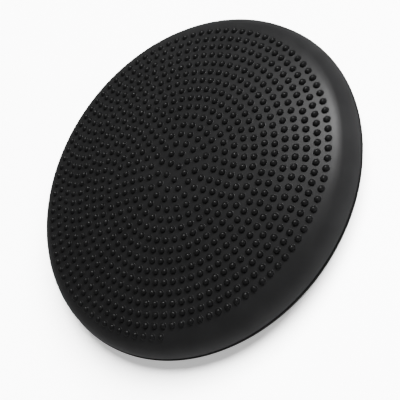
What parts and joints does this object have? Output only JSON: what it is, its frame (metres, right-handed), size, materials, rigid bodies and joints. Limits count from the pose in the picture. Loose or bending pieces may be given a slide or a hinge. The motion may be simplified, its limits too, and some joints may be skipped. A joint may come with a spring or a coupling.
{
  "type": "wobble cushion",
  "caption": "Round air-filled balance cushion with a spiral of round nubs on its upper face, a smooth rim, a welded edge and a plugged needle valve.",
  "frame": {"origin": "centre of the flat face the cushion rests on", "axes": "+Z is the disc's axis, up through the nubbed face; the valve is in the rim on the +Y side"},
  "size_m": [0.33, 0.33, 0.0573],
  "materials": {
    "pvc_skin": "satin moulded vinyl",
    "pvc_weld": "satin",
    "valve_plastic": "matte",
    "valve_rubber": "matte",
    "plug_plastic": "matte"
  },
  "bodies": {
    "base": {"lower_skin": "pvc_skin"},
    "seam": {"weld_bead": "pvc_weld", "valve_sleeve": "valve_plastic", "valve_core": "valve_rubber"},
    "top": {"upper_skin": "pvc_skin"},
    "plug": {"valve_plug": "plug_plastic"}
  },
  "joints": [
    {"name": "fore_tilt", "type": "hinge", "parent": "base", "child": "seam", "pos_m": [0, 0, 0.02], "axis": [1, 0, 0], "range_deg": [-6, 6], "stiffness_Nm_per_rad": 150, "deforming": ["lower_skin"]},
    {"name": "side_tilt", "type": "hinge", "parent": "seam", "child": "top", "pos_m": [0, 0, 0.02], "axis": [0, 1, 0], "range_deg": [-6, 6], "stiffness_Nm_per_rad": 150, "deforming": ["upper_skin"]},
    {"name": "plug_pull", "type": "slide", "parent": "seam", "child": "plug", "axis": [0, 0.9397, 0.342], "range_m": [0, 0.015]}
  ]
}
